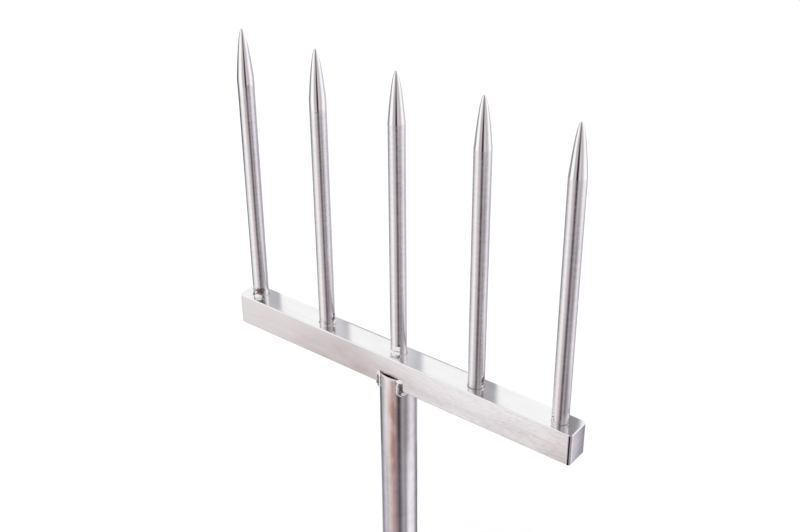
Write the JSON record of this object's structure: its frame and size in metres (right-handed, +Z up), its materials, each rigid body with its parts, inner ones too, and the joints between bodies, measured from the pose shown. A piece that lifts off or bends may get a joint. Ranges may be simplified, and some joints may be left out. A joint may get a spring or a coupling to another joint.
{
  "type": "garden claw head",
  "caption": "Garden claw head: straight round tines with turned points through a flat steel crossbar, on a saddle-cut tube socket for a handle.",
  "frame": {"origin": "centre of the socket's mouth, on the socket's axis", "axes": "+Z up the socket towards the tine points, +X along the crossbar, -Y the front face of the crossbar"},
  "size_m": [0.3006, 0.028, 0.4223],
  "materials": {
    "brushed_bar": "stainless steel, faces brushed along the bar, edges eased",
    "satin_tine": "stainless round bar, satin along the shank and mirror bright on the turned point",
    "satin_tube": "stainless tube, bright with a fine grain along its length",
    "weld_metal": "bare weld puddles, bright with straw and brown heat tint at their edges"
  },
  "bodies": {
    "root": {"crossbar": "brushed_bar", "tine_1": "satin_tine", "tine_2": "satin_tine", "tine_3": "satin_tine", "tine_4": "satin_tine", "tine_5": "satin_tine", "socket_tube": "satin_tube", "tine_weld_1": "weld_metal", "tine_weld_2": "weld_metal", "tine_weld_3": "weld_metal", "tine_weld_4": "weld_metal", "tine_weld_5": "weld_metal", "plug_weld_1": "weld_metal", "plug_weld_2": "weld_metal", "plug_weld_3": "weld_metal", "plug_weld_4": "weld_metal", "plug_weld_5": "weld_metal", "socket_weld_front_left": "weld_metal", "socket_weld_front_right": "weld_metal", "socket_weld_back_left": "weld_metal", "socket_weld_back_right": "weld_metal"}
  },
  "joints": []
}
